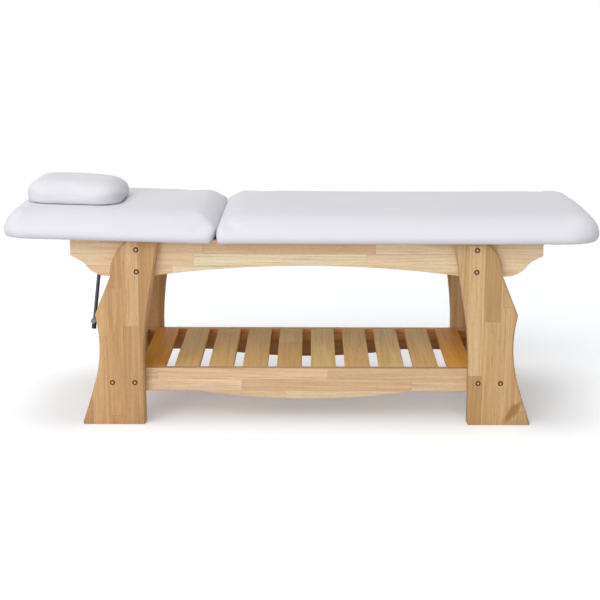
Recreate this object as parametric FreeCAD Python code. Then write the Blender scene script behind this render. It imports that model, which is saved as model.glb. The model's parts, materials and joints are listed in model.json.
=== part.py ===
import FreeCAD, Part
import math
import os

from FreeCAD import Vector

# Treatment bed with a fixed leg section, a lifting back section and a slatted shelf.
# Millimetres. Origin on the floor under the middle of the top, +X to the foot end,
# +Z up, front side -Y.

# Top: overall sizes of the padded top
top_length = 1900.0
top_width = 700.0
hinge_from_middle = 268.0
pad_gap = 18.0
board_thickness = 15.0
cushion_thickness = 61.0
pad_crown = 6.0
pad_edge_radius = 45.0
pad_lower_bevel = 9.0
pad_corner_radius = 62.0

# Base: the wooden frame
frame_height = 612.0
base_shift = 15.0
top_overhang = 39.0
leg_thickness = 38.0
rail_thickness = 25.0
leg_bevel = 6.0

# Leg outline: distance from the middle of the base, and height above the floor
leg_top_outer = 575.0
leg_top_inner = 472.0
leg_shoulder_mid = 613.0
leg_shoulder_mid_height = 569.0
leg_shoulder = 631.0
leg_shoulder_height = 497.0
leg_knee = 684.0
leg_knee_height = 369.0
leg_knee_radius = 14.0
leg_waist = 672.5
leg_waist_height = 262.0
leg_ankle = 687.0
leg_ankle_height = 155.0
leg_flare = 707.0
leg_flare_height = 88.0
foot_outer = 735.0
foot_inner = 528.0
foot_corner = 4.0
leg_inner_mid = 512.0
leg_inner_mid_height = 380.0
leg_inner_low = 527.0
leg_inner_low_height = 215.0
leg_inner_bend = 522.0
leg_inner_bend_height = 298.0

# Side rail outline, under the top
side_rail_half = 762.0
side_rail_depth = 121.0
side_rail_arch = 34.5
side_rail_arch_half = 505.0
side_rail_end_depth = 54.0
side_rail_scoop = 46.0
side_rail_scoop_depth = 81.0
side_rail_lobe = 118.0
side_rail_scoop_sag = 2.0
side_rail_lobe_sag = 11.0

# Shelf
shelf_height = 182.0
shelf_rail_half = 668.0
shelf_rail_depth = 78.0
shelf_rail_belly = 26.0
shelf_rail_belly_half = 352.0
slat_count = 10
slat_width = 83.0
slat_gap = 30.0
slat_thickness = 16.0
slat_bevel = 2.0
slat_clearance = 1.0
ledger_width = 20.0
ledger_depth = 24.0
end_rail_depth = 70.0

# Cross rails under the top
cross_rail_depth = 70.0
cross_rail_thickness = 25.0
cross_rail_places = (270.0, 730.0)
hinge_rail_width = 60.0
hinge_rail_depth = 42.0

# Bolt heads on the outer faces of the legs
bolt_head_radius = 8.5
bolt_head_thickness = 2.8
upper_bolt_place = 545.0
upper_bolt_heights = (585.0, 513.5)
lower_bolt_places = (560.0, 633.0)
lower_bolt_height = 143.5

# Hinges between the two sections
hinge_places = (-190.0, 190.0)
hinge_width = 90.0
hinge_pin_radius = 2.5
hinge_pin_clearance = 0.05
hinge_knuckle_radius = 5.5
hinge_leaf_thickness = 2.0
hinge_leaf_depth = 14.0
hinge_axis_above_board = 3.0
knuckle_clearance = 0.4

# Back lift: rest slope, highest slope and the prop that holds it
rest_slope = 1.6
lift_slope = 40.0
bumper_radius = 10.0
bumper_from_hinge = 462.0
seat_clearance = 0.3
prop_reach = 384.0
prop_drop = 30.0
prop_length = 296.0
prop_rod_radius = 6.0
prop_lean = 7.1
prop_arm_from_rail = 42.0
prop_cap_length = 25.0
prop_cap_radius = 7.6
prop_bar_above_cap = 8.0
prop_bar_from_rail = 8.0
prop_bar_cap_length = 24.0
prop_bar_cap_radius = 8.0
prop_eye_radius = 10.5
prop_eye_width = 9.0
prop_pin_radius = 4.0
prop_pin_clearance = 0.08
prop_pin_overhang = 1.5
bracket_thickness = 3.0
bracket_length = 56.0
bracket_ear_radius = 10.5
bracket_side_clearance = 0.5

# Racks that the prop stands in
rack_depth = 33.0
rack_thickness = 25.0
rack_below_top = 18.0
rack_notches = 4
rack_notch_pitch = 30.0
rack_end = 12.0
rack_notch_clearance = 0.4

# Pillow
pillow_length = 311.0
pillow_width = 300.0
pillow_height = 71.0
pillow_taper = 0.065
pillow_middle = 759.0
pillow_edge_radius = 21.0
pillow_corner_radius = 44.0
pillow_crown = 5.0
pillow_draw_in = 5.0
pillow_edge_steps = 2
pillow_side_steps = 1
pillow_bend_share = 0.45

# Working values: how far cutting forms run past, and when two places count as one
overrun = 40.0
same_place = 0.01

# Sizes worked out from those above
half_top = top_length / 2
half_width = top_width / 2
hinge_x = -hinge_from_middle
board_top = frame_height + board_thickness
pad_height = board_thickness + cushion_thickness
hinge_z = board_top + hinge_axis_above_board
prop_reach_to_bar = prop_length - prop_cap_length - prop_bar_above_cap
leg_outer_y = half_width - top_overhang
leg_inner_y = leg_outer_y - leg_thickness
rail_inner_y = leg_inner_y - rail_thickness
prop_half_width = rail_inner_y - prop_arm_from_rail
prop_bar_half = rail_inner_y - prop_bar_from_rail
slat_pitch = slat_width + slat_gap
slat_span = slat_count * slat_pitch - slat_gap
end_rail_place = slat_span / 2 + slat_gap + rail_thickness / 2
end_rail_thickness = rail_thickness

X_AXIS = Vector(1, 0, 0)
Y_AXIS = Vector(0, 1, 0)
Z_AXIS = Vector(0, 0, 1)


def box(x0, x1, y0, y1, z0, z1):
    return Part.makeBox(x1 - x0, y1 - y0, z1 - z0, Vector(x0, y0, z0))


def cylinder_y(radius, x, z, y0, y1):
    return Part.makeCylinder(radius, y1 - y0, Vector(x, y0, z), Y_AXIS)


def line(a, b):
    return Part.LineSegment(a, b).toShape()


def arc(a, middle, b):
    return Part.Arc(a, middle, b).toShape()


def flat_xz(x, z):
    return Vector(x, 0, z)


def slab(edges, y0, y1):
    """A flat outline in X and Z, given thickness from y0 to y1."""
    face = Part.Face(Part.Wire(edges))
    face.translate(Vector(0, y0, 0))
    return face.extrude(Vector(0, y1 - y0, 0))


def bowed(a, b, sag):
    """An arc from a to b in X and Z that bows by sag to the left of its way."""
    along = b.sub(a)
    side = Vector(-along.z, 0, along.x).normalize()
    return arc(a, a.add(b).multiply(0.5).add(side.multiply(sag)), b)


def same(a, b):
    return abs(a - b) < same_place


def mirrored(shape, normal):
    return shape.mirror(Vector(0, 0, 0), normal)


def moved(shape, x, y, z):
    copy = shape.copy()
    copy.translate(Vector(x, y, z))
    return copy


def sloped(shape, slope):
    """A shape of the back section, turned up about the hinge line by a slope in degrees."""
    copy = shape.copy()
    copy.rotate(Vector(hinge_x, 0, hinge_z), Y_AXIS, slope)
    return copy


def save(name, shapes):
    solids = []
    for shape in shapes:
        solids += shape.Solids
    whole = solids[0] if len(solids) == 1 else Part.makeCompound(solids)
    whole.exportStep("parts/" + name + ".step")


# Legs: one profiled plank each, cut to the same outline

def leg_outline():
    top_out = flat_xz(leg_top_outer, frame_height)
    shoulder = flat_xz(leg_shoulder, leg_shoulder_height)
    knee = flat_xz(leg_knee, leg_knee_height)
    ankle = flat_xz(leg_ankle, leg_ankle_height)
    foot_out = flat_xz(foot_outer, foot_corner)
    foot_out_low = flat_xz(foot_outer - foot_corner, 0)
    foot_in_low = flat_xz(foot_inner + foot_corner, 0)
    foot_in = flat_xz(foot_inner, foot_corner)
    inner_low = flat_xz(leg_inner_low, leg_inner_low_height)
    inner_mid = flat_xz(leg_inner_mid, leg_inner_mid_height)
    top_in = flat_xz(leg_top_inner, frame_height)
    return [
        arc(top_out, flat_xz(leg_shoulder_mid, leg_shoulder_mid_height), shoulder),
        line(shoulder, knee),
        arc(knee, flat_xz(leg_waist, leg_waist_height), ankle),
        arc(ankle, flat_xz(leg_flare, leg_flare_height), foot_out),
        line(foot_out, foot_out_low),
        line(foot_out_low, foot_in_low),
        line(foot_in_low, foot_in),
        line(foot_in, inner_low),
        arc(inner_low, flat_xz(leg_inner_bend, leg_inner_bend_height), inner_mid),
        line(inner_mid, top_in),
        line(top_in, top_out),
    ]


def rounded_knee(leg):
    """The tip of the knee is eased with a round of its own."""
    for edge in leg.Edges:
        b = edge.BoundBox
        upright = b.YLength > leg_thickness / 2
        if upright and same(b.XMax, leg_knee) and same(b.ZMax, leg_knee_height):
            return leg.makeFillet(leg_knee_radius, [edge])
    return leg


def outer_side_edges(leg):
    """The outline edges of the outer face, from above the foot corners to below the top."""
    kept = []
    for edge in leg.Edges:
        b = edge.BoundBox
        outer = same(b.YMin, -leg_outer_y) and same(b.YMax, -leg_outer_y)
        if outer and b.ZMax > 2 * foot_corner and b.ZMin < frame_height - foot_corner:
            kept.append(edge)
    return kept


def foot_end_front_leg():
    leg = rounded_knee(slab(leg_outline(), -leg_outer_y, -leg_inner_y))
    return leg.makeChamfer(leg_bevel, outer_side_edges(leg))


def place_legs():
    leg = foot_end_front_leg()
    head_leg = mirrored(leg, X_AXIS)
    save("leg_front_foot", [moved(leg, base_shift, 0, 0)])
    save("leg_front_head", [moved(head_leg, base_shift, 0, 0)])
    save("leg_rear_foot", [moved(mirrored(leg, Y_AXIS), base_shift, 0, 0)])
    save("leg_rear_head", [moved(mirrored(head_leg, Y_AXIS), base_shift, 0, 0)])


# Rails: side rails under the top, shelf rails and the cross rails

def side_rail_outline():
    low = frame_height - side_rail_depth
    end_low = frame_height - side_rail_end_depth
    scoop_x = side_rail_half - side_rail_scoop
    scoop_low = frame_height - side_rail_scoop_depth
    lobe_x = side_rail_half - side_rail_lobe
    edges = []
    for side in (-1, 1):
        corner = flat_xz(side * side_rail_half, end_low)
        scoop = flat_xz(side * scoop_x, scoop_low)
        lobe = flat_xz(side * lobe_x, low)
        edges.append(line(flat_xz(side * side_rail_half, frame_height), corner))
        edges.append(bowed(corner, scoop, -side * side_rail_scoop_sag))
        edges.append(bowed(scoop, lobe, side * side_rail_lobe_sag))
        edges.append(line(lobe, flat_xz(side * side_rail_arch_half, low)))
    edges.append(line(flat_xz(-side_rail_half, frame_height), flat_xz(side_rail_half, frame_height)))
    edges.append(arc(flat_xz(-side_rail_arch_half, low), flat_xz(0, low + side_rail_arch),
                     flat_xz(side_rail_arch_half, low)))
    return Part.__sortEdges__(edges)


def shelf_rail_outline():
    low = shelf_height - shelf_rail_depth
    left = flat_xz(-shelf_rail_half, low)
    left_belly = flat_xz(-shelf_rail_belly_half, low)
    right_belly = flat_xz(shelf_rail_belly_half, low)
    right = flat_xz(shelf_rail_half, low)
    right_top = flat_xz(shelf_rail_half, shelf_height)
    left_top = flat_xz(-shelf_rail_half, shelf_height)
    return [
        line(left, left_belly),
        arc(left_belly, flat_xz(0, low - shelf_rail_belly), right_belly),
        line(right_belly, right),
        line(right, right_top),
        line(right_top, left_top),
        line(left_top, left),
    ]


def place_side_rails():
    rail = slab(side_rail_outline(), -leg_inner_y, -rail_inner_y)
    save("side_rail_front", [moved(rail, base_shift, 0, 0)])
    save("side_rail_rear", [moved(mirrored(rail, Y_AXIS), base_shift, 0, 0)])


def place_shelf_rails():
    rail = slab(shelf_rail_outline(), -leg_inner_y, -rail_inner_y)
    save("shelf_rail_front", [moved(rail, base_shift, 0, 0)])
    save("shelf_rail_rear", [moved(mirrored(rail, Y_AXIS), base_shift, 0, 0)])


def cross_rail(x, thickness, top, depth):
    """A rail from side to side, between the two front-to-back faces of the long rails."""
    return box(x - thickness / 2, x + thickness / 2, -rail_inner_y, rail_inner_y, top - depth, top)


def place_cross_rails():
    save("cross_rail_hinge", [cross_rail(hinge_x, hinge_rail_width, frame_height, hinge_rail_depth)])
    names = ("cross_rail_middle", "cross_rail_foot")
    for name, place in zip(names, cross_rail_places):
        save(name, [cross_rail(place, cross_rail_thickness, frame_height, cross_rail_depth)])
    for name, side in (("shelf_end_rail_head", -1), ("shelf_end_rail_foot", 1)):
        x = base_shift + side * end_rail_place
        save(name, [cross_rail(x, end_rail_thickness, shelf_height, end_rail_depth)])


# Shelf: slats between the shelf rails, carried on a ledger along each rail

def place_slats():
    half = rail_inner_y - slat_clearance
    for index in range(slat_count):
        x = base_shift + (index - (slat_count - 1) / 2) * slat_pitch
        slat = box(x - slat_width / 2, x + slat_width / 2, -half, half,
                   shelf_height - slat_thickness, shelf_height)
        long_edges = [edge for edge in slat.Edges
                      if edge.BoundBox.YLength > half and edge.BoundBox.ZMin > shelf_height - slat_bevel]
        save("shelf_slat_%02d" % (index + 1), [slat.makeChamfer(slat_bevel, long_edges)])


def place_ledgers():
    top = shelf_height - slat_thickness
    half = end_rail_place - end_rail_thickness / 2
    front = box(base_shift - half, base_shift + half, -rail_inner_y, -rail_inner_y + ledger_width,
                top - ledger_depth, top)
    save("slat_ledger_front", [front])
    save("slat_ledger_rear", [mirrored(front, Y_AXIS)])


# Bolt heads: two at the top and two at the shelf rail of every leg

def place_bolt_heads():
    upper = [(upper_bolt_place, height) for height in upper_bolt_heights]
    lower = [(place, lower_bolt_height) for place in lower_bolt_places]
    heads = []
    for side in (-1, 1):
        for place, height in upper + lower:
            x = base_shift + side * place
            head = cylinder_y(bolt_head_radius, x, height, -leg_outer_y - bolt_head_thickness, -leg_outer_y)
            heads.append(head)
            heads.append(mirrored(head, Y_AXIS))
    save("leg_bolt_heads", heads)


# Padded sections: board and cushion share one outer form

def pad_form(near, far):
    """A padded section from its hinge end to its far end, its top crowned across the width."""
    way = 1 if far > near else -1
    start = near - way * overrun
    block = crowned_section(start).extrude(Vector(far - start, 0, 0))
    corners = [edge for edge in block.Edges
               if edge.BoundBox.ZLength > pad_height / 2 and same(edge.BoundBox.XMax, far)]
    block = block.makeFillet(pad_corner_radius, corners)
    crown = max(block.Faces, key=lambda face: face.CenterOfMass.z)
    block = block.makeFillet(pad_edge_radius, edges_away_from(crown, start))
    sole = min(block.Faces, key=lambda face: face.CenterOfMass.z)
    block = block.makeChamfer(pad_lower_bevel, edges_away_from(sole, start))
    return block.common(hinge_end_limit(near, far))


def crowned_section(x):
    """The section across a pad before its edges are rounded."""
    high = frame_height + pad_height
    side = high - pad_crown
    return Part.Face(Part.Wire([
        line(Vector(x, -half_width, frame_height), Vector(x, half_width, frame_height)),
        line(Vector(x, half_width, frame_height), Vector(x, half_width, side)),
        arc(Vector(x, half_width, side), Vector(x, 0, high), Vector(x, -half_width, side)),
        line(Vector(x, -half_width, side), Vector(x, -half_width, frame_height)),
    ]))


def edges_away_from(face, x):
    """A face's edges, leaving out the one in the plane at x."""
    return [edge for edge in face.Edges
            if not (same(edge.BoundBox.XMin, x) and same(edge.BoundBox.XMax, x))]


def hinge_end_limit(near, far):
    """Everything behind the hinge end, whose top edge is rounded like the other edges."""
    way = 1 if far > near else -1
    high = frame_height + pad_height
    share = 1 - math.sqrt(0.5)
    low = frame_height - overrun
    foot = flat_xz(near, low)
    spring = flat_xz(near, high - pad_edge_radius)
    bend = flat_xz(near + way * pad_edge_radius * share, high - pad_edge_radius * share)
    top = flat_xz(near + way * pad_edge_radius, high)
    far_top = flat_xz(far + way * overrun, high)
    far_foot = flat_xz(far + way * overrun, low)
    edges = [line(foot, spring), arc(spring, bend, top), line(top, far_top),
             line(far_top, far_foot), line(far_foot, foot)]
    return slab(edges, -half_width - overrun, half_width + overrun)


def pad_parts(near, far):
    """The board and the cushion of one section, lying flat."""
    form = pad_form(near, far)
    board_slice = box(-top_length, top_length, -top_width, top_width, frame_height - overrun, board_top)
    return form.common(board_slice), form.cut(board_slice)


def place_top():
    board, cushion = pad_parts(hinge_x + pad_gap / 2, half_top)
    save("leg_section_board", [board])
    save("leg_section_cushion", [cushion])
    board, cushion = pad_parts(hinge_x - pad_gap / 2, -half_top)
    save("back_section_board", [sloped(board, rest_slope)])
    save("back_section_cushion", [sloped(cushion, rest_slope)])


# Hinges: leaves on the facing ends of the two sections, knuckles in the gap between

def knuckle(y0, y1):
    ring = cylinder_y(hinge_knuckle_radius, hinge_x, hinge_z, y0, y1)
    bore = cylinder_y(hinge_pin_radius + hinge_pin_clearance, hinge_x, hinge_z, y0 - overrun, y1 + overrun)
    return ring, bore


def hinge_leaf(way, middle, spans):
    """A leaf that stands on the end of one section and carries the knuckles over spans."""
    face = hinge_x + way * pad_gap / 2
    plate = sorted((face, face - way * hinge_leaf_thickness))
    low = hinge_z - hinge_axis_above_board - hinge_leaf_depth + hinge_leaf_thickness
    high = hinge_z + hinge_leaf_thickness / 2
    leaf = box(plate[0], plate[1], middle - hinge_width / 2, middle + hinge_width / 2, low, high)
    web = sorted((face, hinge_x))
    for y0, y1 in spans:
        ring, bore = knuckle(middle + y0, middle + y1)
        arm = box(web[0], web[1], middle + y0, middle + y1, high - hinge_leaf_thickness, high)
        leaf = leaf.fuse(arm).fuse(ring).cut(bore)
    return leaf.removeSplitter()


def place_hinges():
    half = hinge_width / 2
    inner = hinge_width / 6
    fixed = []
    moving = []
    pins = []
    for middle in hinge_places:
        outer_spans = ((-half, -inner - knuckle_clearance), (inner + knuckle_clearance, half))
        fixed.append(hinge_leaf(1, middle, outer_spans))
        moving.append(sloped(hinge_leaf(-1, middle, ((-inner, inner),)), rest_slope))
        pins.append(cylinder_y(hinge_pin_radius, hinge_x, hinge_z, middle - half, middle + half))
    save("hinge_fixed_leaves", fixed)
    save("hinge_moving_leaves", moving)
    save("hinge_pins", pins)


# Rest bumpers on the side rails, under the back section

def place_bumpers():
    y = (leg_inner_y + rail_inner_y) / 2
    slope = math.radians(rest_slope)
    near = bumper_from_hinge - bumper_radius
    drop = (hinge_z - frame_height) * math.cos(slope)
    board_low = hinge_z - drop + (near - (hinge_z - frame_height) * math.sin(slope)) * math.tan(slope)
    height = board_low - seat_clearance - frame_height
    x = hinge_x - bumper_from_hinge
    front = Part.makeCylinder(bumper_radius, height, Vector(x, -y, frame_height), Z_AXIS)
    save("rest_bumpers", [front, mirrored(front, Y_AXIS)])


# Prop: two arms and a cross bar that hang under the back section

def turned_about_hinge(x, z, slope):
    """Where a point of the flat back section lies once it is sloped."""
    turn = math.radians(slope)
    dx = x - hinge_x
    dz = z - hinge_z
    return (hinge_x + dx * math.cos(turn) + dz * math.sin(turn),
            hinge_z - dx * math.sin(turn) + dz * math.cos(turn))


def prop_pivot(slope):
    return turned_about_hinge(hinge_x - prop_reach, frame_height - prop_drop, slope)


def on_arm(distance):
    """The point of a hanging arm at a distance from its pivot."""
    x, z = prop_pivot(rest_slope)
    lean = math.radians(prop_lean)
    return x - distance * math.sin(lean), z - distance * math.cos(lean)


def along_arm(radius, start, length, y):
    x, z = on_arm(start)
    end_x, end_z = on_arm(start + length)
    way = Vector(end_x - x, 0, end_z - z)
    return Part.makeCylinder(radius, length, Vector(x, y, z), way)


def place_prop():
    arm_length = prop_length - prop_cap_length
    bar_x, bar_z = on_arm(prop_reach_to_bar)
    pivot_x, pivot_z = on_arm(0.0)
    bar_end = prop_bar_half - prop_bar_cap_length
    frame = cylinder_y(prop_rod_radius, bar_x, bar_z, -bar_end, bar_end)
    arm_caps = []
    bar_caps = []
    eye_half = prop_eye_width / 2
    for side in (-1, 1):
        y = side * prop_half_width
        arm = along_arm(prop_rod_radius, 0.0, arm_length, y)
        eye = cylinder_y(prop_eye_radius, pivot_x, pivot_z, y - eye_half, y + eye_half)
        gap = cylinder_y(prop_eye_radius, pivot_x, pivot_z, y - overrun, y + overrun)
        bore = cylinder_y(prop_pin_radius + prop_pin_clearance, pivot_x, pivot_z, y - overrun, y + overrun)
        frame = frame.fuse(arm.cut(gap)).fuse(eye).cut(bore)
        arm_caps.append(along_arm(prop_cap_radius, arm_length, prop_cap_length, y))
        ends = sorted((side * bar_end, side * prop_bar_half))
        bar_caps.append(cylinder_y(prop_bar_cap_radius, bar_x, bar_z, ends[0], ends[1]))
    save("prop_frame", [frame])
    save("prop_arm_caps", arm_caps)
    save("prop_bar_caps", bar_caps)


def place_prop_brackets():
    """Two ears under the board on each side, with a pin through the eye of the arm."""
    x = hinge_x - prop_reach
    z = frame_height - prop_drop
    inner = prop_eye_width / 2 + bracket_side_clearance
    outer = inner + bracket_thickness
    half = bracket_length / 2
    brackets = []
    pins = []
    for side in (-1, 1):
        middle = side * prop_half_width
        plate = box(x - half, x + half, middle - outer, middle + outer, frame_height - bracket_thickness,
                    frame_height)
        bracket = plate
        for y0 in (middle - outer, middle + inner):
            ear = box(x - bracket_ear_radius, x + bracket_ear_radius, y0, y0 + bracket_thickness, z,
                      frame_height)
            round_end = cylinder_y(bracket_ear_radius, x, z, y0, y0 + bracket_thickness)
            bracket = bracket.fuse(ear).fuse(round_end)
        bracket = bracket.cut(cylinder_y(prop_pin_radius, x, z, middle - overrun, middle + overrun))
        end = outer + prop_pin_overhang
        pin = cylinder_y(prop_pin_radius, x, z, middle - end, middle + end)
        brackets.append(sloped(bracket.removeSplitter(), rest_slope))
        pins.append(sloped(pin, rest_slope))
    save("prop_brackets", brackets)
    save("prop_pivot_pins", pins)


# Racks: notched blocks on the inner faces of the side rails

def place_racks():
    top = frame_height - rack_below_top
    seat_radius = prop_bar_cap_radius + rack_notch_clearance
    seat_z = top - prop_bar_cap_radius
    pivot_x, pivot_z = prop_pivot(lift_slope)
    drop = pivot_z - seat_z
    first = pivot_x + math.sqrt(prop_reach_to_bar ** 2 - drop ** 2)
    last = first + (rack_notches - 1) * rack_notch_pitch
    block = box(first - rack_end, last + rack_end + prop_bar_cap_radius, -rail_inner_y,
                -rail_inner_y + rack_thickness, top - rack_depth, top)
    for index in range(rack_notches):
        x = first + index * rack_notch_pitch
        seat = cylinder_y(seat_radius, x, seat_z, -rail_inner_y - overrun, -rail_inner_y + overrun)
        mouth = box(x - seat_radius, x + seat_radius, -rail_inner_y - overrun, -rail_inner_y + overrun,
                    seat_z, top + overrun)
        block = block.cut(seat.fuse(mouth))
    save("prop_rack_front", [block])
    save("prop_rack_rear", [mirrored(block, Y_AXIS)])
    print("rack notches from x %.1f to %.1f, seat height %.1f" % (first, last, seat_z))


# Pillow: a crowned block whose sides draw in between its corners

def eased(distance, radius):
    """How far a rounded edge stands back at a distance from its end."""
    if distance >= radius:
        return 0.0
    return radius - math.sqrt(radius * radius - (radius - distance) ** 2)


def pillow_distances():
    """Distances from one end at which the pillow's outline is set, up to its middle."""
    distances = []
    for step in range(pillow_edge_steps):
        turn = math.radians(90.0 * step / pillow_edge_steps)
        distances.append(pillow_edge_radius * (1 - math.cos(turn)))
    inner = pillow_length / 2 - pillow_corner_radius
    distances.append(pillow_edge_radius)
    for step in range(pillow_side_steps + 1):
        distances.append(pillow_corner_radius + inner * step / pillow_side_steps)
    return distances


def pillow_section(side, distance):
    """The outline across the pillow, at a distance from the end on one side."""
    half_length = pillow_length / 2
    along = side * (half_length - distance)
    share = distance / half_length
    swell = 1 - (1 - share) ** 2
    low = eased(distance, pillow_edge_radius)
    high = pillow_height * (1 - pillow_taper * along / half_length)
    high -= low + pillow_crown * (1 - swell)
    half = pillow_width / 2 - eased(distance, pillow_corner_radius) - pillow_draw_in * swell ** 2
    shoulder = high - pillow_crown
    radius = min(pillow_edge_radius, (shoulder - low) * pillow_bend_share)
    bend = radius * (1 - math.sqrt(0.5))

    def at(y, z):
        return Vector(along - pillow_middle, y, frame_height + pad_height + seat_clearance + z)

    return Part.Wire([
        line(at(-half + radius, low), at(half - radius, low)),
        arc(at(half - radius, low), at(half - bend, low + bend), at(half, low + radius)),
        line(at(half, low + radius), at(half, shoulder - radius)),
        arc(at(half, shoulder - radius), at(half - bend, shoulder - bend), at(half - radius, shoulder)),
        arc(at(half - radius, shoulder), at(0, high), at(-half + radius, shoulder)),
        arc(at(-half + radius, shoulder), at(-half + bend, shoulder - bend), at(-half, shoulder - radius)),
        line(at(-half, shoulder - radius), at(-half, low + radius)),
        arc(at(-half, low + radius), at(-half + bend, low + bend), at(-half + radius, low)),
    ])


def place_pillow():
    distances = pillow_distances()
    stations = [(-1, distance) for distance in distances]
    stations += [(1, distance) for distance in reversed(distances[:-1])]
    sections = [pillow_section(side, distance) for side, distance in stations]
    save("pillow", [sloped(Part.makeLoft(sections, True, True), rest_slope)])


os.makedirs("parts", exist_ok=True)
place_legs()
place_side_rails()
place_shelf_rails()
place_cross_rails()
place_slats()
place_ledgers()
place_bolt_heads()
place_top()
place_hinges()
place_bumpers()
place_prop()
place_prop_brackets()
place_racks()
place_pillow()
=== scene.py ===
"""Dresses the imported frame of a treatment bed: edge-glued rubberwood, padded sections in
white upholstery, bolts, staples, the back lift's metal, and a plain pale studio."""

import json
import math

import bmesh
import bpy
import numpy as np
from mathutils import Matrix, Vector

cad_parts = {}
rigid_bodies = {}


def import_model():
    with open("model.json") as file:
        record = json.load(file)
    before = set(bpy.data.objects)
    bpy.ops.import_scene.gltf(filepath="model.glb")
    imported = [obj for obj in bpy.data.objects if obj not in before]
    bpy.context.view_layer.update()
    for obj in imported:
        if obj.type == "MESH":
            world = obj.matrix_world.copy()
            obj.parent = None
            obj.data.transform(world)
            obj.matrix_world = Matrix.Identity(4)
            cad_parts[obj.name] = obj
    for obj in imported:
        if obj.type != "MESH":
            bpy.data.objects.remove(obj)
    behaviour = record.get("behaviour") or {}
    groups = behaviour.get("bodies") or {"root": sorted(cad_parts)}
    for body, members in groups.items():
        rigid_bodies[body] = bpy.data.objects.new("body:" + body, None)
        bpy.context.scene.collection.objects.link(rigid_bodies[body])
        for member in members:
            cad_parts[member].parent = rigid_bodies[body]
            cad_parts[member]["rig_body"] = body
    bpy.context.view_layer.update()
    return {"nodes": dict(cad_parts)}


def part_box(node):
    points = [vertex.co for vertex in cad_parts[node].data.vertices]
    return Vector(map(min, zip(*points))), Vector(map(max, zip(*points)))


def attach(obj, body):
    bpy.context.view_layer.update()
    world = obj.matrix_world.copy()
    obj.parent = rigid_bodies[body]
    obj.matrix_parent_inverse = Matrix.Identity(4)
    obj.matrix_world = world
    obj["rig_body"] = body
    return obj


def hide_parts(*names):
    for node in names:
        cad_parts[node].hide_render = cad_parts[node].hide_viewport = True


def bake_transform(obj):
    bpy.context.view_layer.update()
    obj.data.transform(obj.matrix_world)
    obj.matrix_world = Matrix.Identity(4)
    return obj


bl_info = {
    "name": "Treatment bed dressing",
    "version": (1, 0, 0),
    "blender": (4, 5, 0),
    "location": "3D View > Sidebar > Bed",
    "description": "Timber, upholstery, bolts and fittings for a packed treatment bed",
    "category": "Object",
}

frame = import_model()

# Places and sizes of the solids, in metres
HINGE = Vector((-0.268, 0.0, 0.630))
REST_SLOPE = math.radians(1.6)  # the back section's tilt about the hinge at rest
SOLE_HEIGHT = 0.612
HALF_WIDTH = 0.350
# Each padded section's start at the hinge, its way along the bed, its length and its slope
LEG_SECTION = (-0.259, 1, 1.209, 0.0)
BACK_SECTION = (-0.277, -1, 0.673, REST_SLOPE)
SHELF_RAIL_FOOT = 0.106
FIRST_SLAT = -0.5495
SLAT_STEP = 0.113
RAIL_INNER_FACE = 0.248
BOLT_PLACES = (
    (0.560, 0.585), (0.560, 0.5135), (0.575, 0.1435), (0.648, 0.1435),
    (-0.530, 0.585), (-0.530, 0.5135), (-0.545, 0.1435), (-0.618, 0.1435))
NUTS_ABOVE = 0.5  # only the upper bolts show their nuts
BOLT_RADIUS = 0.0085
NUT_RADIUS = 0.0080
STAPLE_WIDTH = 0.010
KNOT_PLACE = (0.690, 0.044)

# Sizes of the soft forms, which differ a little from the solids
PAD_HEIGHT = 0.082
PILLOW_SIZE = (0.324, 0.310, 0.075)
PILLOW_TAPER = 0.06  # share by which its head side is higher than the middle
# The pillow's corner, end edge, side edge, foot radius, crown and tuck; edges as run, drop, power
PILLOW_FORM = (0.088, (0.052, 0.036, 1.8), (0.058, 0.036, 1.5), 0.012, 0.003, 0.002)
DENT_SIZE = (0.140, 0.133, 0.0065)  # half length, half width and depth of the pillow's dent
BOARD_INSET = 0.030
BOARD_THICKNESS = 0.013
BOARD_CORNER = 0.05
STAPLE_INSET = 0.024

# Powers of the rounded edges: 2 is a quarter ellipse, less breaks off the flat more sharply
ROUND_POWER = 2.0
SIDE_POWER = 1.42
HINGE_POWER = 1.9

CAMERA_PLACE = (0.033, -4.537, 1.419)
CAMERA_DIP = 13.28  # degrees below level
CAMERA_TURN = 0.518  # degrees towards the head of the bed
CAMERA_LENS = 81.0
HEAD_LIGHT_PLACE = Vector((-2.3, -1.1, 2.9))
HEAD_LIGHT_AIM = Vector((0.0, 0.0, 0.6))


# Sizes and colours that a user would change

def length_property(name, description, default, low, high):
    return bpy.props.FloatProperty(
        name=name, description=description, default=default, min=low, max=high, unit="LENGTH")


def colour_property(name, description, default, high=1.0):
    return bpy.props.FloatVectorProperty(
        name=name, description=description, default=default, min=0.0, max=high, subtype="COLOR")


def light_property(name, description, default, high):
    return bpy.props.FloatProperty(
        name=name, description=description, default=default, min=0.0, max=high)


class TimberSizes(bpy.types.PropertyGroup):
    """Sizes and tones of the timber."""
    edge_round: length_property(
        "Edge round", "Radius sanded on the edges of rails and slats", 0.0024, 0.0002, 0.006)
    leg_round: length_property(
        "Leg edge round", "Radius that softens the bevel of the legs", 0.0036, 0.0002, 0.006)
    stave_width: length_property(
        "Stave width", "Width of the glued staves in a plank", 0.053, 0.02, 0.12)
    stave_length: length_property(
        "Stave length", "Mean length of the staves between end joints", 0.43, 0.1, 2.0)
    leg_tone: colour_property(
        "Leg tone", "Mean colour of the legs", (0.635, 0.400, 0.205))
    # partly painted light: the upper rails are paler than the shelf's rails, partly their own paler
    # stock and partly to make up for the shade under the pads' overhang
    side_rail_tone: colour_property(
        "Side rail tone", "Mean colour of the upper rails", (0.95, 0.74, 0.515))
    shelf_rail_tone: colour_property(
        "Shelf rail tone", "Mean colour of the shelf's rails", (0.785, 0.59, 0.39))
    slat_tone: colour_property(
        "Slat tone", "Mean colour of the slats and ledgers", (0.95, 0.66, 0.285))
    # painted shade: this tint darkens the rails' inner faces to stand for the shade between them
    inner_face_shade: colour_property(
        "Inner tone", "Tint of the rails' inner faces", (0.76, 0.52, 0.32))


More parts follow.
